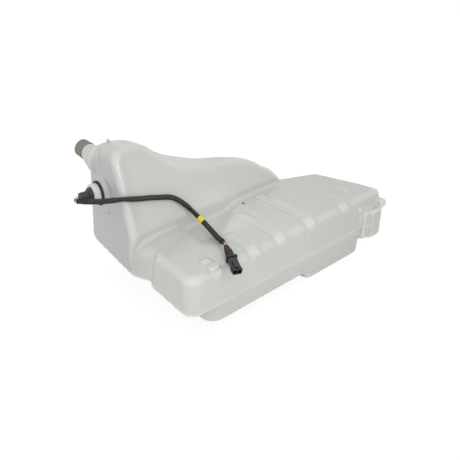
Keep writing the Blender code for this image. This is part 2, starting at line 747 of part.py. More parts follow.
def outer_fittings():
    """Ear, peg, feet, spigots, neck stub, sensor seat and pip: all part of the same moulding."""
    upright = Matrix.Rotation(-math.pi / 2, 4, "Y")
    web_y = EAR_Y - EAR_RADIUS / 2
    web = box((BODY_END_X - ROOT, web_y, EAR_FOOT_Z + WALL),
              (EAR_X[0] + WALL, web_y + WEB_THICKNESS, SLAB_UNDER_Z + WALL), WEB_EDGE)
    peg = turned([(-ROOT, PEG_RADIUS), (PEG_REACH * 0.5, PEG_RADIUS),
                  (PEG_REACH * 0.8, PEG_RADIUS * 0.86), (PEG_REACH, PEG_RADIUS * 0.5)], 20)
    peg = placed(peg, Matrix.Translation((PEG_X, PEG_Y, PEG_Z)))
    fittings = [ear(), shape("web", web), shape("peg", peg)]
    foot_top = TUB_FLOOR_Z + WALL * 0.6
    for x, y in FOOT_PLACES:
        foot = turned([(SUMP_FLOOR_Z, FOOT_RADIUS - FOOT_EDGE), (SUMP_FLOOR_Z + FOOT_EDGE, FOOT_RADIUS),
                       (foot_top, FOOT_RADIUS + FOOT_EDGE)], 24)
        fittings.append(shape("foot", placed(foot, Matrix.Translation((x, y, 0)) @ upright)))
    outlet = turned([(-WALL / 2, OUTLET_RADIUS), (OUTLET_REACH * 0.7, OUTLET_RADIUS),
                     (OUTLET_REACH * 0.78, OUTLET_RADIUS + BARB), (OUTLET_REACH, OUTLET_RADIUS - BARB)], 24)
    fittings.append(shape("outlet", placed(outlet, Matrix.Translation((TUB_END_X, OUTLET_Y, OUTLET_Z)))))
    vent = turned([(-WALL, VENT_RADIUS), (VENT_REACH * 0.7, VENT_RADIUS),
                   (VENT_REACH * 0.8, VENT_RADIUS + BARB), (VENT_REACH, VENT_RADIUS - BARB)], 20)
    vent_place = local_frame((VENT_X, back_line(VENT_X), VENT_Z), (0, 1, 0))
    fittings.append(shape("vent", placed(vent, vent_place)))
    neck = turned([(-ROOT, NECK_RADIUS), (NECK_REACH - LIP_EDGE, NECK_RADIUS),
                   (NECK_REACH, NECK_RADIUS - LIP_EDGE)], 32)
    fittings += [shoulder(), shape("neck", placed(neck, neck_frame()))]
    seat = turned([(-ROOT * 0.75, SEAT_RADIUS + SEAT_FLARE), (SEAT_RISE - SEAT_EDGE, SEAT_RADIUS),
                   (SEAT_RISE, SEAT_RADIUS - SEAT_EDGE), (SEAT_RISE, BOSS_RADIUS),
                   (SEAT_RISE + BOSS_LENGTH, BOSS_RADIUS)], 36)
    fittings.append(shape("seat", placed(seat, sensor_frame())))
    x, y = PIP_AT
    pip = turned([(-ROOT, PIP_RADIUS), (PIP_RISE * 0.75, PIP_RADIUS), (PIP_RISE, PIP_RADIUS * 0.6)], 10)
    fittings.append(shape("pip", placed(pip, Matrix.Translation((x, y, crown_surface(x, y))) @ upright)))
    return fittings


def ear():
    """Upright mounting ear: a flattened post with rounded ends under the end slab."""
    middle = (EAR_X[0] + EAR_X[1]) / 2
    half = (EAR_X[1] - EAR_X[0]) / 2
    top = SLAB_UNDER_Z + EAR_RISE
    levels = [(EAR_FOOT_Z + drop, inset) for inset, drop in reversed(arc_levels(EAR_FOOT_EDGE, 3))]
    levels += [(top - drop, inset) for inset, drop in arc_levels(EAR_RISE, 2)]
    rings = []
    for z, inset in levels:
        ring = []
        for k in range(28):
            angle = 2 * math.pi * (k + 0.5) / 28
            side = half if math.cos(angle) > 0 else -half
            radius = EAR_RADIUS - inset
            ring.append((middle + side + radius * math.cos(angle), EAR_Y + radius * math.sin(angle), z))
        rings.append(ring)
    return shape("ear", loft(rings))


def shoulder():
    """Flared root of the neck that grows out of the tower's upper corner."""
    rings = []
    for along, x, z, half_width, half_height in SHOULDER:
        rings.append(oval_ring(along, x, z, half_width, half_height))
    root = NECK_RADIUS + SLEEVE_WALL
    rings.append(oval_ring(NECK_BASE, 0, 0, root, root))
    return shape("shoulder", placed(loft(rings), neck_frame()))


def oval_ring(along, x, z, half_width, half_height, count=32):
    """Oval across the neck's axis, moved sideways towards the tank by x and up by z."""
    ring = []
    for k in range(count):
        angle = 2 * math.pi * k / count
        ring.append((along, -x + half_width * math.cos(angle), z + half_height * math.sin(angle)))
    return ring


def crown_surface(x, y):
    """Height of the crown over a point, falling from the front edge to the back."""
    top = crown_height(x)
    front = TOWER_Y + (top - DECK_Z - TOWER_FOOT_RISE) * TOWER_LEAN
    return top - crown_fall(x) * (y - front) / (back_line(x) - BACK_DRAFT - front)


def bores():
    """Holes through the moulding: neck, sensor, spigots and ear."""
    upright = Matrix.Rotation(-math.pi / 2, 4, "Y")
    neck = turned([(-ROOT * 2, NECK_BORE), (NECK_REACH + ROOT, NECK_BORE)], 32)
    sensor = turned([(-ROOT * 2, BOSS_BORE), (SEAT_RISE + BOSS_LENGTH + ROOT, BOSS_BORE)], 36)
    outlet = turned([(-ROOT, OUTLET_BORE), (OUTLET_REACH + ROOT, OUTLET_BORE)], 24)
    vent = turned([(-ROOT * 1.6, VENT_BORE), (VENT_REACH + ROOT, VENT_BORE)], 16)
    ear_hole = turned([(EAR_FOOT_Z - ROOT, EAR_HOLE), (SLAB_UNDER_Z - EAR_RADIUS, EAR_HOLE)], 20)
    return [
        shape("neck_bore", placed(neck, neck_frame())),
        shape("sensor_bore", placed(sensor, sensor_frame())),
        shape("outlet_bore", placed(outlet, Matrix.Translation((TUB_END_X, OUTLET_Y, OUTLET_Z)))),
        shape("vent_bore", placed(vent, local_frame((VENT_X, back_line(VENT_X), VENT_Z), (0, 1, 0)))),
        shape("ear_bore", placed(ear_hole, Matrix.Translation((sum(EAR_X) / 2, EAR_Y, 0)) @ upright)),
    ]


def neck_sleeve():
    """Moulded sleeve over the neck stub, with a thicker rim at its base."""
    inner = NECK_RADIUS + GAP
    outer = inner + SLEEVE_WALL
    start = NECK_BASE + GAP
    end = start + SLEEVE_LENGTH
    bead = outer + SLEEVE_BEAD
    ring = turned_ring([(start, inner), (start, bead), (start + SLEEVE_BEAD * 3, bead),
                        (start + SLEEVE_BEAD * 4, outer), (end - SLEEVE_EDGE * 1.6, outer),
                        (end - SLEEVE_EDGE * 0.6, outer - SLEEVE_EDGE * 0.4), (end, outer - SLEEVE_EDGE),
                        (end, inner)], 32)
    return mesh_object("neck_sleeve", placed(ring, neck_frame()), (0.30, 0.27, 0.22), 0.62)


def sensor_parts():
    """Gasket, collar nut, housing with its stem and fork, pin, float, magnet and reed switch."""
    frame = sensor_frame()
    seat = SEAT_RISE + GAP
    collar_bore = BOSS_RADIUS + BOSS_FIT
    gasket_edge = GASKET_RADIUS - GASKET_THICKNESS * 0.2
    gasket_end = seat + GASKET_THICKNESS
    gasket = turned_ring([(seat, collar_bore), (seat, gasket_edge), ((seat + gasket_end) / 2, GASKET_RADIUS),
                          (gasket_end, gasket_edge), (gasket_end, collar_bore)], 36)
    mesh_object("sensor_gasket", placed(gasket, frame), (0.02, 0.02, 0.02), 0.7)

    boss_end = SEAT_RISE + BOSS_LENGTH
    flange_out = boss_end + GAP + FLANGE_THICKNESS
    collar_in = gasket_end + GAP
    collar_out = flange_out + GAP + COLLAR_LIP
    collar_edge = COLLAR_RADIUS - COLLAR_EDGE
    collar = turned_ring([(collar_in, collar_bore), (collar_in, collar_edge),
                          (collar_in + COLLAR_EDGE, COLLAR_RADIUS), (collar_out - COLLAR_EDGE, COLLAR_RADIUS),
                          (collar_out, collar_edge),
                          (collar_out, HEAD_RADIUS + BOSS_FIT), (flange_out + GAP, HEAD_RADIUS + BOSS_FIT),
                          (flange_out + GAP, collar_bore)], 40)
    mesh_object("sensor_collar", placed(collar, frame), (0.80, 0.81, 0.78), 0.45)

    head_end = flange_out + HEAD_LENGTH
    wide_end = flange_out + HEAD_WIDE
    snout = wide_end + HEAD_STEP
    housing = turned([
        (-STEM_LENGTH, STEM_RADIUS - HEAD_EDGE), (HEAD_EDGE - STEM_LENGTH, STEM_RADIUS),
        (boss_end - HEAD_EDGE * 2, STEM_RADIUS), (boss_end - HEAD_EDGE, BOSS_BORE - GAP),
        (boss_end + GAP, BOSS_BORE - GAP), (boss_end + GAP, BOSS_RADIUS - GAP),
        (flange_out, BOSS_RADIUS - GAP), (flange_out, HEAD_RADIUS), (wide_end, HEAD_RADIUS),
        (snout - HEAD_STEP * 0.2, HEAD_RADIUS - HEAD_EDGE * 2),
        (snout, HEAD_TIP_RADIUS + HEAD_EDGE), (head_end - HEAD_EDGE, HEAD_TIP_RADIUS),
        (head_end, HEAD_TIP_RADIUS - HEAD_EDGE)], 36)
    housing = mesh_object("sensor_housing", placed(housing, frame), (0.035, 0.036, 0.038), 0.5)
    tip = -STEM_LENGTH
    pin_half = FORK_GAP / 2 + FORK_CHEEK
    for side in (-1, 1):
        inner = side * FORK_GAP / 2
        outer = side * pin_half
        cheek = box((tip - FORK_LENGTH, min(inner, outer), -FORK_HEIGHT / 2),
                    (tip + FORK_CHEEK, max(inner, outer), FORK_HEIGHT / 2), FORK_EDGE)
        combine(housing, shape("cheek", placed(cheek, frame)), "UNION")
    pivot_x = tip - FORK_LENGTH * 0.55
    across = local_frame((pivot_x, 0, 0), (0, 1, 0))
    combine(housing, shape("eye", placed(pin_eye(), frame @ across)), "DIFFERENCE")
    half = REED_LENGTH / 2
    reed_at = frame @ Matrix.Translation((tip + REED_FLOOR + half, 0, 0))
    reed_hole = turned([(-half - GAP, REED_RADIUS + GAP), (half + GAP, REED_RADIUS + GAP)], 16)
    lead_way = turned([(0, LEAD_WAY_RADIUS), (STEM_LENGTH + head_end + ROOT, LEAD_WAY_RADIUS)], 12)
    combine(housing, shape("reed_hole", placed(reed_hole, reed_at)), "DIFFERENCE")
    combine(housing, shape("lead_way", placed(lead_way, reed_at)), "DIFFERENCE")
    nose = REED_RADIUS / 2
    reed = turned([(-half, nose), (nose - half, REED_RADIUS), (half - nose, REED_RADIUS), (half, nose)], 14)
    mesh_object("reed_switch", placed(reed, reed_at), (0.35, 0.42, 0.36), 0.15)

    pin = turned([(-pin_half, PIN_RADIUS), (pin_half, PIN_RADIUS)], 20)
    mesh_object("float_pin", placed(pin, frame @ across), (0.60, 0.60, 0.58), 0.25, 1.0)
    swing_float(frame @ Matrix.Translation((pivot_x, 0, 0)))
    return head_end


def pin_eye():
    """Cutter for the hole that the float's pin passes through."""
    half = FORK_GAP / 2 + FORK_CHEEK + ROOT
    return turned([(-half, PIN_RADIUS + PIN_FIT), (half, PIN_RADIUS + PIN_FIT)], 20)


def swing_float(pivot):
    """Float on its arm, hanging at the lower stop, with a magnet beside the stem; origin on the pivot."""
    half = FLOAT_WIDTH / 2
    droop = Matrix.Rotation(-FLOAT_DROOP, 4, "Y") @ Matrix.Rotation(math.pi, 4, "Z")
    upper = [(FLOAT_LENGTH, FLOAT_RADIUS - FLOAT_CORNER), (FLOAT_LENGTH - FLOAT_CORNER, FLOAT_RADIUS),
             (ARM_LENGTH + ARM_RADIUS, FLOAT_RADIUS), (ARM_LENGTH, ARM_RADIUS), (-ARM_RADIUS, ARM_RADIUS)]
    drawn = [(x, -z) for x, z in reversed(upper)] + upper
    rings = []
    for y, inset in ((-half, FORK_EDGE), (FORK_EDGE - half, 0.0), (half - FORK_EDGE, 0.0), (half, FORK_EDGE)):
        rings.append([(p.x, y, p.y) for p in moved_in(drawn, [inset] * len(drawn))])
    body = shape("sensor_float", loft(rings))
    across = local_frame((0, 0, 0), (0, 1, 0))
    combine(body, shape("float_eye", placed(pin_eye(), across)), "DIFFERENCE")
    seat = turned([(0, MAGNET_RADIUS + GAP), (FLOAT_WIDTH, MAGNET_RADIUS + GAP)], 16)
    magnet_at = Matrix.Translation((MAGNET_X, -MAGNET_LENGTH / 2 - GAP, 0)) @ across
    combine(body, shape("magnet_seat", placed(seat, magnet_at)), "DIFFERENCE")
    body.data.shade_smooth()
    body.data.set_sharp_from_angle(angle=math.radians(35))
    paint(body, (0.04, 0.04, 0.045), 0.6)
    body.matrix_world = pivot @ droop
    magnet = turned([(GAP, MAGNET_RADIUS), (GAP + MAGNET_LENGTH, MAGNET_RADIUS)], 16)
    slug = mesh_object("float_magnet", placed(magnet, magnet_at), (0.10, 0.10, 0.11), 0.4, 0.6)
    slug.matrix_world = pivot @ droop


def smooth_route(points, count):
    """Evenly spaced points on a smooth curve through the route's own points."""
    points = [Vector(p) for p in points]
    fine = []
    for i in range(len(points) - 1):
        p0 = points[max(i - 1, 0)]
        p1 = points[i]
        p2 = points[i + 1]
        p3 = points[min(i + 2, len(points) - 1)]
        for k in range(12):
            t = k / 12
            fine.append(0.5 * (2 * p1 + (p2 - p0) * t + (2 * p0 - 5 * p1 + 4 * p2 - p3) * t ** 2
                               + (3 * p1 - p0 - 3 * p2 + p3) * t ** 3))
    fine.append(points[-1])
    lengths = [0.0]
    for a, b in zip(fine, fine[1:]):
        lengths.append(lengths[-1] + (b - a).length)
    spaced = []
    j = 0
    for k in range(count):
        goal = lengths[-1] * k / (count - 1)
        while j < len(fine) - 2 and lengths[j + 1] < goal:
            j += 1
        share = (goal - lengths[j]) / (lengths[j + 1] - lengths[j])
        spaced.append(fine[j].lerp(fine[j + 1], min(max(share, 0), 1)))
    return spaced


def cord(name, points, radius, sides, colour):
    """Tube along a list of points, as a curve with filled caps."""
    curve = bpy.data.curves.new(name, "CURVE")
    curve.dimensions = "3D"
    curve.bevel_depth = radius
    curve.bevel_resolution = sides
    curve.use_fill_caps = True
    spline = curve.splines.new("POLY")
    spline.points.add(len(points) - 1)
    for point, place in zip(spline.points, points):
        point.co = (*place, 1.0)
    item = bpy.data.objects.new(name, curve)
    bpy.context.scene.collection.objects.link(item)
    paint(item, colour, 0.55)
    return item


def lead(head_end):
    """Conduit, tape, wire ends, boot and connector."""
    route = smooth_route(CONDUIT_ROUTE, CONDUIT_POINTS)
    cord("conduit", route, CONDUIT_RADIUS, 2, (0.03, 0.03, 0.03))
    k = round(TAPE_SHARE * (len(route) - 2))
    at = (route[k] + route[k + 1]) / 2
    ahead = route[k + 1] - route[k]
    inner = CONDUIT_RADIUS + GAP
    tape = turned_ring([(-TAPE_LENGTH / 2, inner), (-TAPE_LENGTH / 2, inner + TAPE_WALL),
                        (TAPE_LENGTH / 2, inner + TAPE_WALL), (TAPE_LENGTH / 2, inner)], 24)
    mesh_object("marking_tape", placed(tape, local_frame(at, ahead)), (0.85, 0.66, 0.03), 0.4)

    colours = {"red": (0.60, 0.03, 0.08), "black": (0.02, 0.02, 0.02)}
    head = sensor_frame()
    near = local_frame(route[0], route[0] - route[1])
    for wire, side in (("red", 1), ("black", -1)):
        offset = WIRE_SPREAD * side
        leaving = head @ Vector((head_end + WIRE_LEAD * 2, 0, offset))
        entering = near @ Vector((WIRE_LEAD * 2, 0, offset))
        bow = (leaving + entering) / 2 + (head.col[0] + near.col[0]).to_3d() * WIRE_BOW
        way = [head @ Vector((head_end + GAP, 0, offset)), leaving, bow, entering,
               near @ Vector((WIRE_LEAD, 0, offset)), near @ Vector((GAP, 0, offset))]
        cord(wire + "_wire_sensor_end", smooth_route(way, 13), WIRE_RADIUS, 2, colours[wire])

    plug = local_frame(CONNECTOR_AT, CONNECTOR_AIM)
    far = local_frame(route[-1], route[-1] - route[-2])
    for wire, side in (("red", 1), ("black", -1)):
        offset = WIRE_SPREAD * side
        way = [far @ Vector((GAP, offset, 0)), far @ Vector((WIRE_LEAD, offset, 0)),
               plug @ Vector((-WIRE_LEAD, offset, 0)), plug @ Vector((-GAP, offset, 0))]
        cord(wire + "_wire_plug_end", smooth_route(way, 6), WIRE_RADIUS, 2, colours[wire])
    connector(plug)


def plug_ring(x, width, height, corner, steps=4):
    """Rounded rectangle across local X."""
    corners = [Vector((-width / 2, -height / 2)), Vector((width / 2, -height / 2)),
               Vector((width / 2, height / 2)), Vector((-width / 2, height / 2))]
    return [(x, p.x, p.y) for p in rounded(corners, [corner] * 4, steps)]


def connector(plug):
    """Rubber boot, two-way housing with its latch and cavities, and the two contacts."""
    neck = BOOT_NECK * 2
    boot = loft([plug_ring(0, neck, neck, BOOT_NECK), plug_ring(BOOT_LENGTH * 0.2, neck, neck, BOOT_NECK),
                 plug_ring(BOOT_LENGTH * 0.55, BOOT_WIDTH * 0.82, BOOT_HEIGHT * 0.85, BOOT_CORNER),
                 plug_ring(BOOT_LENGTH * 0.8, BOOT_WIDTH, BOOT_HEIGHT, BOOT_CORNER),
                 plug_ring(BOOT_LENGTH, BOOT_WIDTH, BOOT_HEIGHT, BOOT_CORNER)])
    mesh_object("connector_boot", placed(boot, plug), (0.03, 0.03, 0.03), 0.65)

    start = BOOT_LENGTH + GAP
    end = start + HOUSING_LENGTH
    plate_end = start + COLLAR_PLATE
    width = HOUSING_WIDTH - HOUSING_STEP * 2
    height = HOUSING_HEIGHT - HOUSING_STEP * 1.5
    housing = loft([plug_ring(start, HOUSING_WIDTH, HOUSING_HEIGHT, HOUSING_CORNER, 3),
                    plug_ring(plate_end, HOUSING_WIDTH, HOUSING_HEIGHT, HOUSING_CORNER, 3),
                    plug_ring(plate_end, width, height, HOUSING_CORNER, 3),
                    plug_ring(end - HOUSING_EDGE, width, height, HOUSING_CORNER, 3),
                    plug_ring(end, width - HOUSING_EDGE * 2, height - HOUSING_EDGE * 2, HOUSING_CORNER, 3)])
    body = mesh_object("connector_housing", placed(housing, plug), (0.035, 0.034, 0.033), 0.5)
    latch = box((end - LATCH_LENGTH, -LATCH_WIDTH / 2, height / 2 - HOUSING_EDGE * 2),
                (end - LATCH_INSET, LATCH_WIDTH / 2, height / 2 + LATCH_RISE), HOUSING_EDGE)
    combine(body, shape("latch", placed(latch, plug)), "UNION")
    for side in (-1, 1):
        inner = side * (width / 2 - HOUSING_STEP)
        outer = side * HOUSING_WIDTH / 2
        wing = box((end - WING_LENGTH, min(inner, outer), -WING_HEIGHT / 2),
                   (end - LATCH_INSET / 2, max(inner, outer), WING_HEIGHT / 2), HOUSING_EDGE)
        combine(body, shape("wing", placed(wing, plug)), "UNION")
    for side in (-1, 1):
        y = side * CAVITY_PITCH / 2
        cavity = box((end - CAVITY_DEPTH, y - CAVITY_WIDTH / 2, -CAVITY_HEIGHT / 2),
                     (end + ROOT, y + CAVITY_WIDTH / 2, CAVITY_HEIGHT / 2))
        combine(body, shape("cavity", placed(cavity, plug)), "DIFFERENCE")
        low = Vector((end - CAVITY_DEPTH + GAP, y - CAVITY_WIDTH / 2 + GAP, -CAVITY_HEIGHT / 2 + GAP))
        high = Vector((end - CONTACT_INSET, y + CAVITY_WIDTH / 2 - GAP, CAVITY_HEIGHT / 2 - GAP))
        name = "contact_left" if side < 0 else "contact_right"
        contact = mesh_object(name, placed(box(low, high, GAP), plug), (0.62, 0.58, 0.50), 0.3, 1.0)
        slot_low = low + Vector((CONTACT_FLOOR, CONTACT_WALL, CONTACT_WALL))
        slot_high = high + Vector((ROOT, -CONTACT_WALL, -CONTACT_WALL))
        combine(contact, shape("slot", placed(box(slot_low, slot_high), plug)), "DIFFERENCE")


def centre_on_floor():
    """Hang everything on one empty that puts the middle of the part, cord apart, over the origin."""
    loose = ("conduit", "marking_tape", "wire", "connector", "contact")
    low = Vector((1, 1, 1))
    high = -low
    bpy.context.view_layer.update()
    items = list(bpy.context.scene.objects)
    for item in items:
        if item.name.startswith(loose) or "wire" in item.name:
            continue
        for corner in item.bound_box:
            place = item.matrix_world @ Vector(corner)
            low = Vector(map(min, low, place))
            high = Vector(map(max, high, place))
    root = bpy.data.objects.new("tank_frame", None)
    bpy.context.scene.collection.objects.link(root)
    root.location = (-(low.x + high.x) / 2, -(low.y + high.y) / 2, -low.z)
    for item in items:
        item.parent = root


for old in list(bpy.data.objects):
    bpy.data.objects.remove(old)
tank_body()
neck_sleeve()
lead(sensor_parts())
centre_on_floor()
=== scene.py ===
import math

import bmesh
import bpy
import numpy as np
from mathutils import Matrix, Vector


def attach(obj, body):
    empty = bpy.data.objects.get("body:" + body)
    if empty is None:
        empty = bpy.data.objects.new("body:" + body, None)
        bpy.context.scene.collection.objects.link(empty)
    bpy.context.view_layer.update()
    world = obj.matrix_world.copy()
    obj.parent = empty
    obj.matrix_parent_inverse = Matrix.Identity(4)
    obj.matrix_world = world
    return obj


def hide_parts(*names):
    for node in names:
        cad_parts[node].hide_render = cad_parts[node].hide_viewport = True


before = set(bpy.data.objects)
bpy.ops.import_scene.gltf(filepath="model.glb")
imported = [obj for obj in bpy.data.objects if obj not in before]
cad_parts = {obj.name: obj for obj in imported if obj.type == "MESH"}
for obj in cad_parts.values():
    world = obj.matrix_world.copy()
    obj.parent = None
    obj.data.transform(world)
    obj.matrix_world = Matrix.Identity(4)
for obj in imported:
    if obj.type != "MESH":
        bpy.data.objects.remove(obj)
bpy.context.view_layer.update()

# Studio: a plain white floor, a white room and four lamps. The large key lamp stands to the front left, a
# small edge lamp below it draws a fine light along the edges, and the left and fill lamps are weak.
# The camera stands where the photograph was taken from, a little above the tank and to its front left.
tank_corner = Vector((-0.255321, -0.179958, 0.011))
looked_at = tank_corner + Vector((0.174, 0.095, 0.122))
camera_back = Vector((-0.574, -0.637, 0.515))
camera_distance = 1.25
room_light = 0.775
floor_reach = 7.0
floor_brightness = 1.08
floor_own_light = 0.82
# Each lamp's name, place, width and power.
lamps = (("key_lamp", Vector((-0.80, -1.6, 1.8)), 2.2, 10.8),
         ("edge_lamp", Vector((-1.05, -1.35, 1.0)), 0.10, 2.6),
         ("left_lamp", Vector((-2.0, -0.3, 0.9)), 1.6, 0.6),
         ("fill_lamp", Vector((1.7, 0.5, 1.6)), 1.8, 1.0))


def add_object(name, data):
    """New object in the scene for a mesh, a curve, a lamp or the camera."""
    item = bpy.data.objects.new(name, data)
    bpy.context.scene.collection.objects.link(item)
    return item


def maths(tree, operation, first, second=0.0):
    """Output of a maths node for two values, each a number or another node's output."""
    node = tree.nodes.new("ShaderNodeMath")
    node.operation = operation
    for socket, value in zip(node.inputs, (first, second)):
        if isinstance(value, float):
            socket.default_value = value
        else:
            tree.links.new(value, socket)
    return node.outputs[0]


def spread(tree, value, low, high, to_low, to_high):
    """Maps a value from one range to another, held at both ends."""
    node = tree.nodes.new("ShaderNodeMapRange")
    for socket, number in (("From Min", low), ("From Max", high), ("To Min", to_low), ("To Max", to_high)):
        node.inputs[socket].default_value = number
    tree.links.new(value, node.inputs["Value"])
    return node.outputs["Result"]


camera_data = bpy.data.cameras.new("camera")
camera_data.sensor_width = 36.0
camera_data.lens = 50.87
camera = add_object("camera", camera_data)
camera.location = looked_at + camera_back * camera_distance
camera.rotation_euler = (-camera_back).to_track_quat("-Z", "Y").to_euler()
bpy.context.scene.camera = camera
bpy.context.scene.view_settings.view_transform = "Standard"

room = bpy.data.worlds.new("white_room")
room.use_nodes = True
bpy.context.scene.world = room
room_tree = room.node_tree
room_air = room_tree.nodes["Background"]
room_air.inputs["Color"].default_value = (1.0, 1.0, 1.0, 1.0)
room_ray = room_tree.nodes.new("ShaderNodeLightPath").outputs
room_seen = maths(room_tree, "MAXIMUM", room_ray["Is Camera Ray"], room_ray["Is Glossy Ray"])
room_seen = maths(room_tree, "MAXIMUM", room_seen, room_ray["Is Transmission Ray"])
room_tree.links.new(spread(room_tree, room_seen, 0.0, 1.0, room_light, 1.0), room_air.inputs["Strength"])

floor_corners = [(x * floor_reach, y * floor_reach, 0) for x, y in ((-1, -1), (1, -1), (1, 1), (-1, 1))]
floor_mesh = bpy.data.meshes.new("floor")
floor_mesh.from_pydata(floor_corners, [], [(0, 1, 2, 3)])
floor = add_object("floor", floor_mesh)
floor_paint = bpy.data.materials.new("floor_paint")
floor_paint.use_nodes = True
floor_tree = floor_paint.node_tree
floor_tree.nodes.remove(floor_tree.nodes["Principled BSDF"])
floor_matt = floor_tree.nodes.new("ShaderNodeBsdfDiffuse")
floor_matt.inputs["Color"].default_value = (0.90, 0.90, 0.90, 1.0)
floor_glow = floor_tree.nodes.new("ShaderNodeEmission")
floor_glow.inputs["Strength"].default_value = floor_brightness
floor_ray = floor_tree.nodes.new("ShaderNodeLightPath").outputs
floor_share = maths(floor_tree, "MULTIPLY", floor_ray["Is Camera Ray"], floor_own_light)
floor_mix = floor_tree.nodes.new("ShaderNodeMixShader")
floor_tree.links.new(floor_share, floor_mix.inputs["Fac"])
floor_tree.links.new(floor_matt.outputs[0], floor_mix.inputs[1])
floor_tree.links.new(floor_glow.outputs[0], floor_mix.inputs[2])
floor_tree.links.new(floor_mix.outputs[0], floor_tree.nodes["Material Output"].inputs["Surface"])
floor.data.materials.append(floor_paint)

for lamp_name, lamp_at, lamp_width, lamp_power in lamps:
    lamp_data = bpy.data.lights.new(lamp_name, "AREA")
    lamp_data.size = lamp_width
    lamp_data.energy = lamp_power
    lamp = add_object(lamp_name, lamp_data)
    lamp.location = lamp_at
    lamp.rotation_euler = (looked_at - lamp_at).to_track_quat("-Z", "Y").to_euler()


# Vessel: one blown moulding of milky plastic about 3.5 mm thick, open at its neck, port and spigots.
# The CAD's outer skin is melted a little, as blown plastic rounds every corner, and hollowed again.
# The neck, the bores and the small forms on top are shaped after that, so they stay crisp.
neck_at = tank_corner + Vector((0.031, 0.3315, 0.2435))
neck_yaw = math.radians(6.5)
neck_pitch = math.radians(10)
neck_base = 0.0155
neck_reach = 0.0375
neck_radius = 0.0142
port_at = tank_corner + Vector((0.0156, 0.2941, 0.1812))
port_yaw = math.radians(7.1)
port_pitch = math.radians(2.6)
outlet_at = tank_corner + Vector((0.467, 0.095, 0.040))
vent_at = tank_corner + Vector((0.160, 0.297316, 0.165))
deck_top = 0.122
bulge_at = tank_corner + Vector((0.4613, 0.0135, 0.0945))
dish_at = tank_corner + Vector((0.474, 0.062, deck_top))
pad_at = tank_corner + Vector((0.0650, 0.0180, deck_top))
pip_at = tank_corner + Vector((0.060, 0.320, 0.2665))


def along(place, aim):
    """Matrix with local X along aim and local Z as near up as it can be."""
    x = Vector(aim).normalized()
    y = Vector((0, 0, 1)).cross(x).normalized()
    matrix = Matrix((x, y, x.cross(y))).transposed().to_4x4()
    matrix.translation = place
    return matrix


def upright_oval(place, half_length, half_width, turn):
    """Matrix with local X up and its two level axes stretched, for a turned solid of oval outline."""
    stretch = Matrix(((0, half_length, 0, 0), (0, 0, half_width, 0), (1, 0, 0, 0), (0, 0, 0, 1)))
    return Matrix.Translation(place) @ Matrix.Rotation(turn, 4, "Z") @ stretch


def turned_solid(profile, place, segments=64):
    """Closed mesh turned about the place's local X through (x, radius) points."""
    solid = bmesh.new()
    loops = []
    for x, radius in profile:
        loops.append([solid.verts.new(place @ Vector((x, radius * math.cos(2 * math.pi * k / segments),
                                                      radius * math.sin(2 * math.pi * k / segments))))
                      for k in range(segments)])
    for lower, upper in zip(loops, loops[1:]):
        for k in range(segments):
            solid.faces.new((lower[k], lower[(k + 1) % segments], upper[(k + 1) % segments], upper[k]))
    solid.faces.new(loops[0])
    solid.faces.new(loops[-1])
    bmesh.ops.recalc_face_normals(solid, faces=solid.faces)
    return solid


def shade(mesh, sharp):
    """Shades a mesh smooth, with edges kept sharp past the angle in degrees."""
    mesh.shade_smooth()
    mesh.set_sharp_from_angle(angle=math.radians(sharp))


def new_piece(name, solid, sharp=40):
    """Object at the origin for a finished bmesh."""
    mesh = bpy.data.meshes.new(name)
    solid.to_mesh(mesh)
    solid.free()
    shade(mesh, sharp)
    return add_object(name, mesh)


def finished_mesh(piece):
    """Plain mesh of an object as its modifiers leave it."""
    return bpy.data.meshes.new_from_object(piece.evaluated_get(bpy.context.evaluated_depsgraph_get()))


def apply_boolean(piece, tool, operation):
    """Join or cut the piece with a closed tool, then remove the tool."""
    step = piece.modifiers.new("step", "BOOLEAN")
    step.operation = operation
    step.solver = "MANIFOLD"
    step.object = tool
    result = finished_mesh(piece)
    piece.modifiers.remove(step)
    piece.data = result
    bpy.data.objects.remove(tool)


neck_line = along(neck_at, (-math.sin(neck_yaw) * math.cos(neck_pitch),
                            math.cos(neck_yaw) * math.cos(neck_pitch), math.sin(neck_pitch)))
port_line = along(port_at, (-math.cos(port_yaw) * math.cos(port_pitch),
                            math.sin(port_yaw) * math.cos(port_pitch), math.sin(port_pitch)))
outlet_line = along(outlet_at, (1, 0, 0))
vent_line = along(vent_at, (0, 1, 0))
# Each bore's line and radius, and where it starts and ends on the line.
bores = ((neck_line, 0.011, -0.016, neck_reach), (port_line, 0.0145, -0.016, 0.012),
         (outlet_line, 0.0085, -0.008, 0.032), (vent_line, 0.004, -0.0128, 0.024))
radius_error = 0.00015
length_error = 0.002


def on_wall(face, inverse, radius, start, end):
    """Whether every corner of the face is on the wall of a bore."""
    corners = [inverse @ vert.co for vert in face.verts]
    return all(abs(math.hypot(corner.y, corner.z) - radius) < radius_error
               and start - length_error < corner.x < end + length_error for corner in corners)


shell = bmesh.new()
shell.from_mesh(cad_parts["tank_body"].data)
bmesh.ops.remove_doubles(shell, verts=shell.verts, dist=1e-5)
bore_places = [(line.inverted(), radius, start, end) for line, radius, start, end in bores]
bore_walls = [face for face in shell.faces if any(on_wall(face, *bore) for bore in bore_places)]
bmesh.ops.delete(shell, geom=bore_walls, context="FACES")
bmesh.ops.holes_fill(shell, edges=[edge for edge in shell.edges if edge.is_boundary], sides=0)
bmesh.ops.triangulate(shell, faces=[face for face in shell.faces if len(face.verts) > 4])


def split_islands(solid):
    """Lists of the faces of each connected part, the part that reaches highest first."""
    islands = []
    waiting = set(solid.faces)
    while waiting:
        queue = [waiting.pop()]
        island = []
        while queue:
            face = queue.pop()
            island.append(face)
            for edge in face.edges:
                for other in edge.link_faces:
                    if other in waiting:
                        waiting.remove(other)
                        queue.append(other)
        islands.append(island)
    return sorted(islands, key=lambda island: -max(vert.co.z for face in island for vert in face.verts))


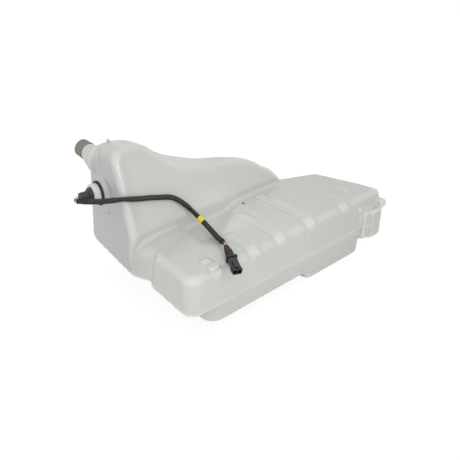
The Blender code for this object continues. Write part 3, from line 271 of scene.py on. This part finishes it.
outer_faces, inner_faces = split_islands(shell)
inside = bmesh.new()
inside_verts = {}
for face in inner_faces:
    corners = []
    for vert in face.verts:
        if vert not in inside_verts:
            inside_verts[vert] = inside.verts.new(vert.co)
        corners.append(inside_verts[vert])
    inside.faces.new(corners)
bmesh.ops.recalc_face_normals(inside, faces=inside.faces)
bmesh.ops.delete(shell, geom=inner_faces, context="FACES")
skin = new_piece("tank_skin", shell)
hollow = new_piece("tank_hollow", inside)


def shape_skin(operation, profile, place, segments=64):
    """Join the skin with a turned solid, or cut it by one."""
    apply_boolean(skin, new_piece("tool", turned_solid(profile, place, segments)), operation)


# A short barrel along the right end's front corner makes it bulge a little.
bulge_side = [(-0.0128, 0.0015), (-0.0113, 0.0062), (-0.0080, 0.0098), (-0.0035, 0.0120)]
bulge = bulge_side + [(0.0, 0.0125)] + [(-x, radius) for x, radius in reversed(bulge_side)]
shape_skin("UNION", bulge, along(bulge_at, (1, 0, 0)), 32)

# The melt evens the skin out and then pulls every point towards its neighbours, less so near an opening.
skin_voxel = 0.0026
melt_steps = 3
melt_share = 0.55
opening_share = 0.12
opening_wall = 0.006
opening_start = 0.004


def read_mesh(mesh):
    """Arrays of a mesh's vertex places and of the two ends of its edges."""
    places = np.empty(len(mesh.vertices) * 3)
    mesh.vertices.foreach_get("co", places)
    edge_ends = np.empty(len(mesh.edges) * 2, dtype=np.int64)
    mesh.edges.foreach_get("vertices", edge_ends)
    return places.reshape(-1, 3), edge_ends.reshape(-1, 2)


def neighbour_mean(values, edge_ends):
    """Mean over each vertex's neighbours, for an array with one row to a vertex."""
    here = edge_ends.ravel()
    there = edge_ends[:, ::-1].ravel()
    counts = np.maximum(np.bincount(here, minlength=len(values)), 1)
    return np.stack([np.bincount(here, column[there], len(values)) / counts for column in values.T], axis=1)


melt = skin.modifiers.new("melt", "REMESH")
melt.mode = "VOXEL"
melt.voxel_size = skin_voxel
skin_mesh = finished_mesh(skin)
skin.modifiers.remove(melt)
skin.data = skin_mesh
places, edge_ends = read_mesh(skin_mesh)
softness = np.full((len(places), 1), melt_share)
for line, radius, start, end in bores:
    inverse = np.array(line.inverted())
    local = places @ inverse[:3, :3].T + inverse[:3, 3]
    near = (np.hypot(local[:, 1], local[:, 2]) < radius + opening_wall) & (local[:, 0] > opening_start)
    softness[near] = opening_share
for melt_step in range(melt_steps):
    places += softness * (neighbour_mean(places, edge_ends) - places)
skin_mesh.vertices.foreach_set("co", places.ravel())
skin_mesh.update()

# The melted neck is cleared to its root and turned again, and the vent gets a flared root. The deck has an
# oval dish at its right end and a small pad with an oval hollow at its left, and the crown has a pip.
over_end = 0.01
clear_radius = 0.02
neck_cleared = [(neck_base + 0.002, clear_radius), (neck_reach + over_end, clear_radius)]
neck_wall = [(neck_base - 0.006, neck_radius), (neck_reach - 0.0010, neck_radius),
             (neck_reach - 0.0003, neck_radius - 0.0003), (neck_reach, neck_radius - 0.0010)]
vent_root = [(-0.0110, 0.0085), (-0.0045, 0.0064), (0.0020, 0.0058)]
dish_hollow = [(-0.0022, 0.75), (-0.0012, 0.93), (0.0003, 1.0), (0.0100, 1.2)]
dish_turn = math.radians(104)
pad = [(-0.0040, 1.0), (0.0048, 1.0), (0.0060, 0.95), (0.0068, 0.86)]
pad_hollow = [(0.0042, 0.70), (0.0050, 0.88), (0.0068, 1.0), (0.0100, 1.2)]
pad_turn = math.radians(12)
pip = [(-0.006, 0.003), (0.0040, 0.003), (0.0052, 0.0024), (0.0056, 0.0012)]
nearly_up = (0.0001, 0, 1)
apply_boolean(skin, hollow, "DIFFERENCE")
shape_skin("DIFFERENCE", neck_cleared, neck_line)
shape_skin("UNION", neck_wall, neck_line)
shape_skin("UNION", vent_root, vent_line, 32)
for line, radius, start, end in bores:
    shape_skin("DIFFERENCE", [(start, radius), (end + over_end, radius)], line)
shape_skin("DIFFERENCE", dish_hollow, upright_oval(dish_at, 0.021, 0.0115, dish_turn), 48)
shape_skin("UNION", pad, upright_oval(pad_at, 0.0125, 0.0090, pad_turn), 48)
shape_skin("DIFFERENCE", pad_hollow, upright_oval(pad_at, 0.0088, 0.0056, pad_turn), 48)
shape_skin("UNION", pip, along(pip_at, nearly_up), 24)
shade(skin.data, 50)

# The bend of the skin, in millimetres outwards from its levelled shape, places the painted highlights on
# the edges and the painted light in the folds of its material.
level_steps = 7
bend_steps = 2
bend_limit = 2.0
metres_to_mm = 1000
places, edge_ends = read_mesh(skin.data)
facing = np.empty(places.size)
skin.data.vertices.foreach_get("normal", facing)
levelled = places
for level_step in range(level_steps):
    levelled = neighbour_mean(levelled, edge_ends)
bend = ((places - levelled) * facing.reshape(-1, 3)).sum(axis=1, keepdims=True) * metres_to_mm
for bend_step in range(bend_steps):
    bend = 0.5 * bend + 0.5 * neighbour_mean(bend, edge_ends)
bend_attribute = skin.data.attributes.new("bend", "FLOAT", "POINT")
bend_attribute.data.foreach_set("value", np.clip(bend.ravel(), -bend_limit, bend_limit).astype(np.float32))


def new_paint(name):
    """Material with its node tree, its shader's sockets and an Object coordinate, ready for a finish."""
    paint = bpy.data.materials.new(name)
    paint.use_nodes = True
    tree = paint.node_tree
    shader = tree.nodes["Principled BSDF"].inputs
    place = tree.nodes.new("ShaderNodeTexCoord").outputs["Object"]
    return paint, tree, shader, place


def cloud(tree, place, scale, detail):
    """Noise over the piece's own coordinates, from 0 to 1."""
    noise = tree.nodes.new("ShaderNodeTexNoise")
    noise.inputs["Scale"].default_value = scale
    noise.inputs["Detail"].default_value = detail
    tree.links.new(place, noise.inputs["Vector"])
    return noise.outputs["Fac"]


def tint(tree, share, first, second):
    """Mixes two colours by a share; the first is a colour or the output of another mix."""
    node = tree.nodes.new("ShaderNodeMix")
    node.data_type = "RGBA"
    share_socket, first_socket, second_socket = (node.inputs[number] for number in (0, 6, 7))
    tree.links.new(share, share_socket)
    if isinstance(first, tuple):
        first_socket.default_value = (*first, 1.0)
    else:
        tree.links.new(first, first_socket)
    second_socket.default_value = (*second, 1.0)
    return node.outputs[2]


def relief(tree, shader, height, strength, distance):
    """Raises the surface by a height, in shading only."""
    bump = tree.nodes.new("ShaderNodeBump")
    bump.inputs["Strength"].default_value = strength
    bump.inputs["Distance"].default_value = distance
    tree.links.new(height, bump.inputs["Height"])
    tree.links.new(bump.outputs["Normal"], shader["Normal"])


def mark(tree, place, centre, radius):
    """Share that is 1 inside a small round mark and fades at its edge."""
    reach = tree.nodes.new("ShaderNodeVectorMath")
    reach.operation = "DISTANCE"
    reach.inputs[1].default_value = centre
    tree.links.new(place, reach.inputs[0])
    return spread(tree, reach.outputs["Value"], radius * 0.6, radius, 1.0, 0.0)


def set_finish(piece, paint):
    """Gives a piece its finish in place of any other."""
    piece.data.materials.clear()
    piece.data.materials.append(paint)


# Each pair is where a change of colour starts and ends: along an axis, in bend, or away from the seam.
end_face_x = (-0.247, -0.205)
tower_y = (-0.040, 0.020)
far_end_x = (-0.020, 0.200)
crown_z = (0.235, 0.285)
edge_highlight_bend = (0.20, 0.75)
fold_light_bend = (-0.50, -0.10)
seam_away = (0.0008, 0.0020)
seam_z = 0.065
pocket_light_at = (-0.065, -0.030, 0.110)
pocket_light_radius = 0.095
ink_dot_at = (0.01118, -0.02344, 0.1330)
ink_dot_radius = 0.0042
dark_spot_at = (-0.23962, 0.08913, 0.15734)
dark_spot_radius = 0.0040
plastic_low = (0.585, 0.595, 0.555)
plastic_high = (0.610, 0.618, 0.580)
# Painted shade: the plastic darker towards the far end and up the crown.
plastic_painted_shade = (0.515, 0.525, 0.490)
# Painted shade: the tower's end face, darker and a little bluer.
plastic_shaded = (0.480, 0.495, 0.495)
# Painted highlight along the outer edges.
plastic_edge_highlight = (0.74, 0.75, 0.72)
# Painted light in the inner folds and in the pocket by the tower, lifting the shade there.
plastic_painted_light = (0.66, 0.67, 0.63)
# Painted highlight along the moulding seam; the seam itself is the moulding's parting line.
plastic_seam_highlight = (0.72, 0.73, 0.70)
ink_blue = (0.02, 0.04, 0.20)
spot_grey = (0.26, 0.27, 0.26)

milky, milky_tree, milky_shader, milky_place = new_paint("milky_plastic")
milky_axes_node = milky_tree.nodes.new("ShaderNodeSeparateXYZ")
milky_tree.links.new(milky_place, milky_axes_node.inputs[0])
milky_axes = milky_axes_node.outputs
bend_node = milky_tree.nodes.new("ShaderNodeAttribute")
bend_node.attribute_name = "bend"
milky_bend = bend_node.outputs["Fac"]
near_the_end = spread(milky_tree, milky_axes["X"], *end_face_x, 0.90, 0.0)
in_the_tower = spread(milky_tree, milky_axes["Y"], *tower_y, 0.0, 1.0)
seam_reach = maths(milky_tree, "ABSOLUTE", maths(milky_tree, "SUBTRACT", milky_axes["Z"], seam_z))
milky_patch = spread(milky_tree, cloud(milky_tree, milky_place, 7.0, 2.0), 0.32, 0.68, 0.0, 1.0)
milky_colour_and_light = tint(milky_tree, milky_patch, plastic_low, plastic_high)
# In turn: painted shade on the tower's end face, painted shade towards the far end and up the crown,
# painted highlight on the outer edges, painted light in the inner folds, painted highlight along the seam,
# painted light in the pocket, the ink dot on the deck and the dark spot on the end face.
for milky_share, milky_second in (
        (maths(milky_tree, "MULTIPLY", near_the_end, in_the_tower), plastic_shaded),
        (spread(milky_tree, milky_axes["X"], *far_end_x, 0.0, 0.80), plastic_painted_shade),
        (spread(milky_tree, milky_axes["Z"], *crown_z, 0.0, 0.60), plastic_painted_shade),
        (spread(milky_tree, milky_bend, *edge_highlight_bend, 0.0, 0.60), plastic_edge_highlight),
        (spread(milky_tree, milky_bend, *fold_light_bend, 0.35, 0.0), plastic_painted_light),
        (spread(milky_tree, seam_reach, *seam_away, 0.40, 0.0), plastic_seam_highlight),
        (mark(milky_tree, milky_place, pocket_light_at, pocket_light_radius), plastic_painted_light),
        (mark(milky_tree, milky_place, ink_dot_at, ink_dot_radius), ink_blue),
        (mark(milky_tree, milky_place, dark_spot_at, dark_spot_radius), spot_grey)):
    milky_colour_and_light = tint(milky_tree, milky_share, milky_colour_and_light, milky_second)
milky_gloss = spread(milky_tree, cloud(milky_tree, milky_place, 30.0, 2.0), 0.30, 0.70, 0.13, 0.18)
milky_tree.links.new(milky_colour_and_light, milky_shader["Base Color"])
milky_tree.links.new(milky_gloss, milky_shader["Roughness"])
relief(milky_tree, milky_shader, cloud(milky_tree, milky_place, 9.0, 0.0), 0.05, 0.003)
set_finish(skin, milky)
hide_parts("tank_body")
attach(skin, "tank")


# Neck sleeve: a short moulded sleeve of brown-grey plastic, pushed over the neck stub up to its shoulder.
# Its bead sits at the tank side, and handling has left pale scuffs round it.
def dusty_paint(name, colour, dust, roughness, grain=260.0, dust_share=0.35, metallic=0.0):
    """Finish of a plain moulded or metal piece: fine grain, clouded colour and a little pale dust."""
    paint, tree, shader, place = new_paint(name)
    soil = cloud(tree, place, 70.0, 4.0)
    soiled = tint(tree, spread(tree, soil, 0.42, 0.72, 0.0, dust_share), colour, dust)
    tree.links.new(soiled, shader["Base Color"])
    tree.links.new(spread(tree, soil, 0.3, 0.7, roughness - 0.08, roughness + 0.10), shader["Roughness"])
    shader["Metallic"].default_value = metallic
    relief(tree, shader, cloud(tree, place, grain, 2.0), 0.12, 0.0003)
    return paint


def refinish(node, paint):
    """Gives a CAD piece its finish."""
    set_finish(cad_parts[node], paint)


refinish("neck_sleeve", dusty_paint("sleeve_plastic", (0.215, 0.190, 0.155), (0.38, 0.345, 0.295), 0.60,
                                    dust_share=0.45))

# Gasket: a thin flat ring of black rubber.
# The collar nut presses it against the tank's end face.
refinish("sensor_gasket", dusty_paint("gasket_rubber", (0.016, 0.016, 0.017), (0.05, 0.05, 0.05), 0.62))

# Collar nut: a moulded ring of opaque white plastic.
# It is turned down over the boss on the end face and holds the sensor's flange.
refinish("sensor_collar", dusty_paint("collar_plastic", (0.73, 0.75, 0.71), (0.60, 0.62, 0.59), 0.42))

# Level sensor: a black moulded head, with its stem and fork inside the tank, held by the collar nut.
# The reed switch lies in the stem, and the float with its magnet swings on a steel pin.
refinish("sensor_housing", dusty_paint("head_plastic", (0.030, 0.031, 0.032), (0.08, 0.08, 0.08), 0.40))
refinish("sensor_float", dusty_paint("float_foam", (0.03, 0.03, 0.032), (0.07, 0.07, 0.07), 0.70, 600.0))
refinish("reed_switch", dusty_paint("reed_glass", (0.16, 0.22, 0.18), (0.25, 0.30, 0.26), 0.20))
refinish("float_magnet", dusty_paint("magnet_ferrite", (0.05, 0.05, 0.055), (0.10, 0.10, 0.10), 0.40))
refinish("float_pin", dusty_paint("pin_steel", (0.52, 0.52, 0.51), (0.40, 0.40, 0.39), 0.28, 900.0,
                                  metallic=1.0))

# Lead: a short ribbed conduit of black plastic, from the sensor round the tower and down onto the deck.
# It stands on its own stiffness, so it keeps this bend.
# Geometry Nodes sweep a ring along its line, and two of every four points step in to make a groove.
conduit_route = (
    (-0.0364, 0.2915, 0.1820), (-0.0270, 0.2795, 0.1822), (-0.0190, 0.2650, 0.1852),
    (-0.0120, 0.2480, 0.1900), (-0.0070, 0.2300, 0.1965), (-0.0010, 0.2135, 0.2025), (0.0114, 0.2033, 0.2040),
    (0.0294, 0.1990, 0.1998), (0.0454, 0.1973, 0.1957), (0.0654, 0.1951, 0.1914), (0.0824, 0.1930, 0.1867),
    (0.0984, 0.1912, 0.1826), (0.1124, 0.1887, 0.1769), (0.1244, 0.1841, 0.1676), (0.1344, 0.1793, 0.1571),
    (0.1419, 0.1732, 0.1466), (0.1465, 0.1620, 0.1370), (0.1480, 0.1450, 0.1300), (0.1450, 0.1250, 0.1265),
    (0.1390, 0.1060, 0.1275), (0.1310, 0.0825, 0.1294), (0.1252, 0.0616, 0.1316),
)
conduit_radius = 0.0053
conduit_pitch = 0.0037
conduit_groove = 0.0015
points_to_a_rib = 4.0
last_rib_point = 1.5
conduit_steps = 12
tube_sharp = 60


def smooth_line(points, steps):
    """Points on a smooth curve through the given ones."""
    line = []
    for i in range(len(points) - 1):
        p0, p1 = points[max(i - 1, 0)], points[i]
        p2, p3 = points[i + 1], points[min(i + 2, len(points) - 1)]
        for k in range(steps):
            t = k / steps
            line.append(0.5 * (2 * p1 + (p2 - p0) * t + (2 * p0 - 5 * p1 + 4 * p2 - p3) * t ** 2
                               + (3 * p1 - p0 - 3 * p2 + p3) * t ** 3))
    line.append(points[-1])
    return line


def add_guide(name, points):
    """Curve object through the points, for a tube to follow."""
    curve = bpy.data.curves.new(name, "CURVE")
    curve.dimensions = "3D"
    spline = curve.splines.new("POLY")
    spline.points.add(len(points) - 1)
    for spline_point, point in zip(spline.points, points):
        spline_point.co = (*point, 1.0)
    return add_object(name, curve)


def tube_from(guide, name):
    """Object at the origin with the plain mesh that a guide makes, then remove the guide."""
    mesh = finished_mesh(guide)
    bpy.data.objects.remove(guide)
    shade(mesh, tube_sharp)
    return add_object(name, mesh)


conduit_paint = dusty_paint("conduit_plastic", (0.007, 0.007, 0.007), (0.024, 0.024, 0.023), 0.30,
                            dust_share=0.4)
ribbed = bpy.data.node_groups.new("ribbed_conduit", "GeometryNodeTree")
ribbed.interface.new_socket(name="Geometry", in_out="INPUT", socket_type="NodeSocketGeometry")
ribbed.interface.new_socket(name="Geometry", in_out="OUTPUT", socket_type="NodeSocketGeometry")
ribbed_sizes = (("Radius", conduit_radius), ("Pitch", conduit_pitch), ("Groove", conduit_groove))
for size_name, size_value in ribbed_sizes:
    size_socket = ribbed.interface.new_socket(name=size_name, in_out="INPUT", socket_type="NodeSocketFloat")
    size_socket.default_value = size_value
ribbed_in = ribbed.nodes.new("NodeGroupInput").outputs
ribbed_out = ribbed.nodes.new("NodeGroupOutput").inputs
point_number = ribbed.nodes.new("GeometryNodeInputIndex").outputs[0]
point_in_rib = maths(ribbed, "MODULO", point_number, points_to_a_rib)
in_groove = maths(ribbed, "GREATER_THAN", point_in_rib, last_rib_point)
groove_depth = maths(ribbed, "MULTIPLY", in_groove, ribbed_in["Groove"])
wall_radius = maths(ribbed, "SUBTRACT", ribbed_in["Radius"], groove_depth)
point_gap = maths(ribbed, "DIVIDE", ribbed_in["Pitch"], points_to_a_rib)
even_points = ribbed.nodes.new("GeometryNodeResampleCurve")
even_points.mode = "LENGTH"
tube_radius = ribbed.nodes.new("GeometryNodeSetCurveRadius")
radius_read = ribbed.nodes.new("GeometryNodeInputRadius")
tube_ring = ribbed.nodes.new("GeometryNodeCurvePrimitiveCircle")
tube_ring.inputs["Resolution"].default_value = 20
tube_ring.inputs["Radius"].default_value = 1.0
tube_wall = ribbed.nodes.new("GeometryNodeCurveToMesh")
tube_wall.inputs["Fill Caps"].default_value = True
tube_real = ribbed.nodes.new("GeometryNodeRealizeInstances")
tube_paint = ribbed.nodes.new("GeometryNodeSetMaterial")
tube_paint.inputs["Material"].default_value = conduit_paint
for giver, taker in ((ribbed_in["Geometry"], even_points.inputs["Curve"]),
                     (point_gap, even_points.inputs["Length"]),
                     (even_points.outputs["Curve"], tube_radius.inputs["Curve"]),
                     (wall_radius, tube_radius.inputs["Radius"]),
                     (tube_radius.outputs["Curve"], tube_wall.inputs["Curve"]),
                     (tube_ring.outputs["Curve"], tube_wall.inputs["Profile Curve"]),
                     (radius_read.outputs[0], tube_wall.inputs["Scale"]),
                     (tube_wall.outputs["Mesh"], tube_real.inputs["Geometry"]),
                     (tube_real.outputs["Geometry"], tube_paint.inputs["Geometry"]),
                     (tube_paint.outputs["Geometry"], ribbed_out["Geometry"])):
    ribbed.links.new(giver, taker)

conduit_line = smooth_line([tank_corner + Vector(point) for point in conduit_route], conduit_steps)
conduit_guide = add_guide("conduit_line", conduit_line)
conduit_guide.modifiers.new("ribs", "NODES").node_group = ribbed
conduit = tube_from(conduit_guide, "ribbed_conduit")
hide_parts("conduit")
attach(conduit, "tank")

# Tape and wires: one turn of yellow adhesive tape round the conduit, and two wires with red and black
# insulation, which show at both of its ends. Those at the plug are drawn again, longer than the CAD's.
plug_tip = Vector((-0.13702, -0.13583, 0.14409))
plug_aim = Vector((0.4381, 0.8927, 0.1053)).normalized()
wire_side = Vector((0.8965, -0.4254, -0.1236)).normalized()
wire_radius = 0.00105
wire_steps = 8
red_paint = dusty_paint("red_insulation", (0.55, 0.055, 0.14), (0.60, 0.18, 0.25), 0.35)
black_paint = dusty_paint("black_insulation", (0.018, 0.018, 0.018), (0.05, 0.05, 0.05), 0.35)
refinish("marking_tape", dusty_paint("yellow_tape", (0.85, 0.63, 0.045), (0.70, 0.55, 0.12), 0.38))
refinish("red_wire_sensor_end", red_paint)
refinish("black_wire_sensor_end", black_paint)
# Each point of a wire's way: the place it is measured from, and how far ahead and aside it is.
wire_way = ((plug_tip, -0.0005, 0.0016), (plug_tip, 0.006, 0.0030), (plug_tip, 0.013, 0.0030),
            (conduit_line[-1], 0.0005, 0.0018))
for wire_name, wire_paint, wire_slot, side in (
        ("red_wire_plug_end", red_paint, "red_insulation", 1.0),
        ("black_wire_plug_end", black_paint, "black_insulation", -1.0)):
    wire_points = [place + plug_aim * ahead + wire_side * aside * side for place, ahead, aside in wire_way]
    wire_guide = add_guide(wire_name + "_line", smooth_line(wire_points, wire_steps))
    wire_guide.data.bevel_depth = wire_radius
    wire_guide.data.bevel_resolution = 3
    wire_guide.data.use_fill_caps = True
    wire = tube_from(wire_guide, wire_name + "_drawn")
    set_finish(wire, wire_paint)
    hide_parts(wire_name)
    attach(wire, "tank")

# Plug: a black rubber boot over the back of a two-way connector of black moulded plastic, which lies on the
# deck's front edge. The boot is turned again with its ribs, a little shorter than the CAD's.
# Two tinned contacts lie at the bottom of the connector's cavities.
boot_profile = [(0.0, 0.0070), (0.0010, 0.0077), (0.0040, 0.0077), (0.0050, 0.0066), (0.0082, 0.0066),
                (0.0092, 0.0077), (0.0118, 0.0077), (0.0128, 0.0064), (0.0160, 0.0062), (0.0170, 0.0074),
                (0.0196, 0.0072), (0.0206, 0.0055), (0.0236, 0.0052), (0.0246, 0.0060), (0.0280, 0.0055),
                (0.0340, 0.0043), (0.0347, 0.0036)]
boot_length = boot_profile[-1][0]
boot_line = along(plug_tip - plug_aim * boot_length, plug_aim)
boot = new_piece("ribbed_boot", turned_solid(boot_profile, boot_line, 40), 50)
set_finish(boot, dusty_paint("boot_rubber", (0.013, 0.013, 0.012), (0.040, 0.040, 0.039), 0.48))
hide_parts("connector_boot")
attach(boot, "tank")
refinish("connector_housing", dusty_paint("connector_plastic", (0.011, 0.011, 0.010),
                                          (0.036, 0.036, 0.034), 0.36))
contact_paint = dusty_paint("contact_tin", (0.56, 0.54, 0.48), (0.42, 0.40, 0.36), 0.30, 900.0, metallic=1.0)
refinish("contact_left", contact_paint)
refinish("contact_right", contact_paint)
